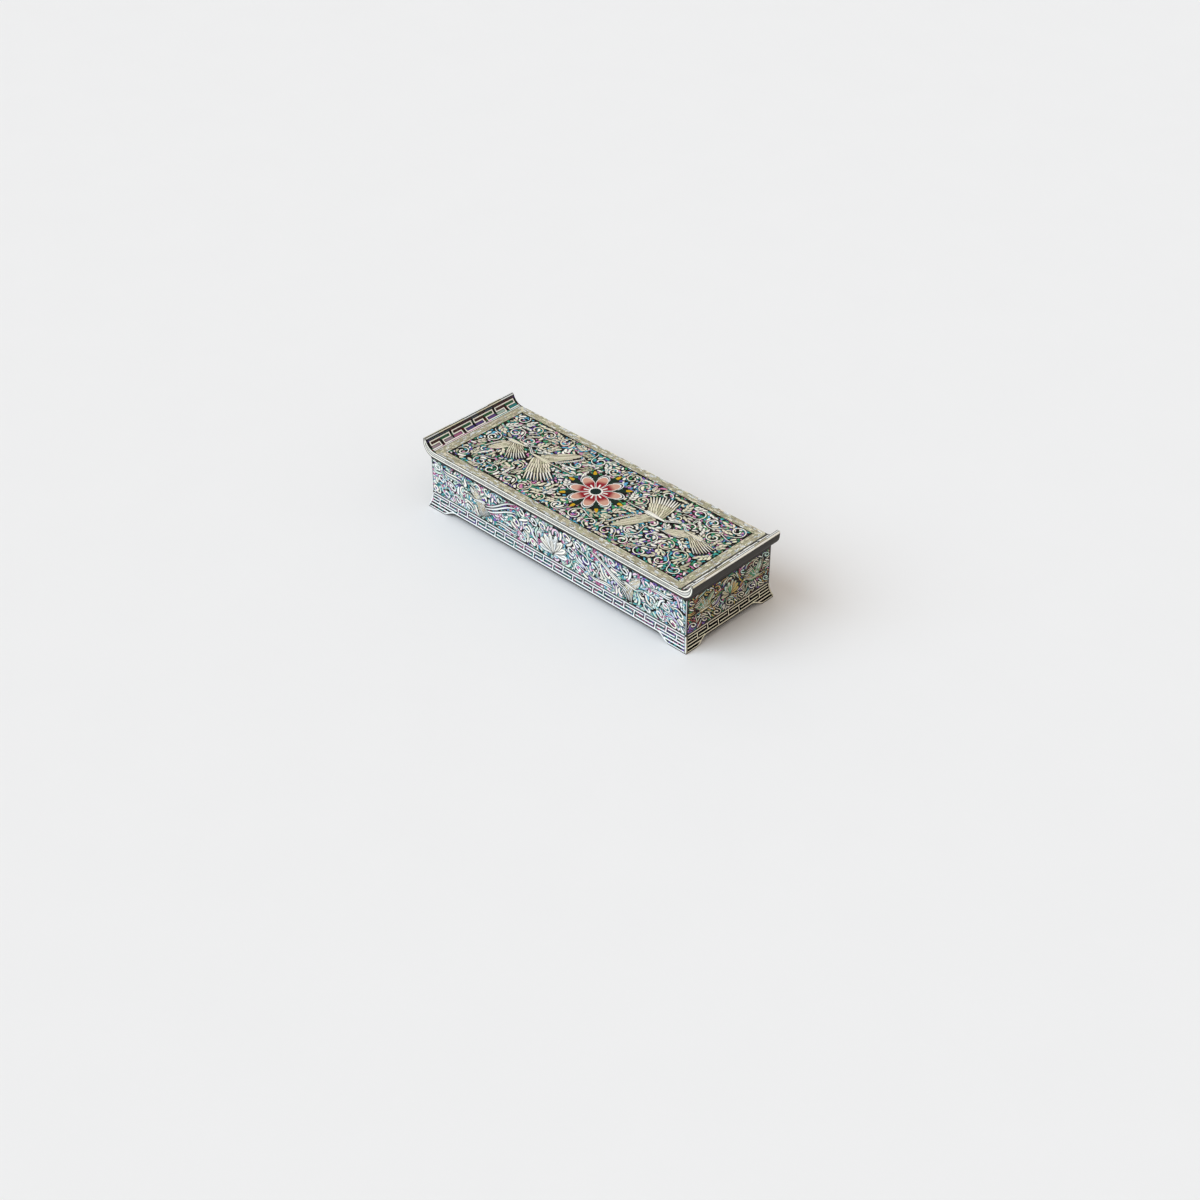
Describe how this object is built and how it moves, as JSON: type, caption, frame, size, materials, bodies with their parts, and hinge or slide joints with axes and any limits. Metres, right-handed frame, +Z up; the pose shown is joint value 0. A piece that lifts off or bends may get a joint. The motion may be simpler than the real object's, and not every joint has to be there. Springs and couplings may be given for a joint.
{
  "type": "pen case",
  "caption": "Long black-lacquer pen case with shell inlay, on a flared bracket-foot plinth, closed by a lift-off lid whose short ends turn up as scrolls.",
  "frame": {"origin": "centre of the footprint, on the plane that the feet stand on", "axes": "+X along the case, -Y towards the front, +Z up"},
  "size_m": [0.2616, 0.0902, 0.0575],
  "materials": {
    "black_lacquer": "gloss black lacquer on wood",
    "top_shell": "polished shell inlay, cream to olive with a faint play of colour",
    "wall_shell": "polished shell inlay, silver white with a play of colour",
    "border_shell": "polished shell strips, olive cream",
    "flower_enamel": "painted enamel flower, gloss",
    "velvet": "short-pile velvet on card"
  },
  "bodies": {
    "case": {"bottom_board": "black_lacquer", "floor_lining": "velvet", "front_wall": "black_lacquer", "front_wall_inlay": "wall_shell", "front_plinth_board": "black_lacquer", "front_plinth_inlay": "wall_shell", "front_lining": "velvet", "right_wall": "black_lacquer", "right_wall_inlay": "wall_shell", "right_plinth_board": "black_lacquer", "right_plinth_inlay": "wall_shell", "right_lining": "velvet", "back_wall": "black_lacquer", "back_wall_inlay": "wall_shell", "back_plinth_board": "black_lacquer", "back_plinth_inlay": "wall_shell", "back_lining": "velvet", "left_wall": "black_lacquer", "left_wall_inlay": "wall_shell", "left_plinth_board": "black_lacquer", "left_plinth_inlay": "wall_shell", "left_lining": "velvet"},
    "lid": {"lid_board": "black_lacquer", "lid_lining": "velvet", "lid_field_inlay": "top_shell", "flower_medallion": "flower_enamel", "lid_front_edge_inlay": "wall_shell", "lid_back_edge_inlay": "wall_shell", "front_lid_rail": "black_lacquer", "front_border_strip": "border_shell", "right_lid_rail": "black_lacquer", "right_border_strip": "border_shell", "back_lid_rail": "black_lacquer", "back_border_strip": "border_shell", "left_lid_rail": "black_lacquer", "left_border_strip": "border_shell", "right_scroll_end": "black_lacquer", "right_slope_inlay": "border_shell", "right_rim_inlay": "top_shell", "left_scroll_end": "black_lacquer", "left_slope_inlay": "border_shell", "left_rim_inlay": "top_shell"}
  },
  "joints": [
    {"name": "lid_lift", "type": "slide", "parent": "case", "child": "lid", "axis": [0, 0, 1], "range_m": [0, 0.08]}
  ]
}
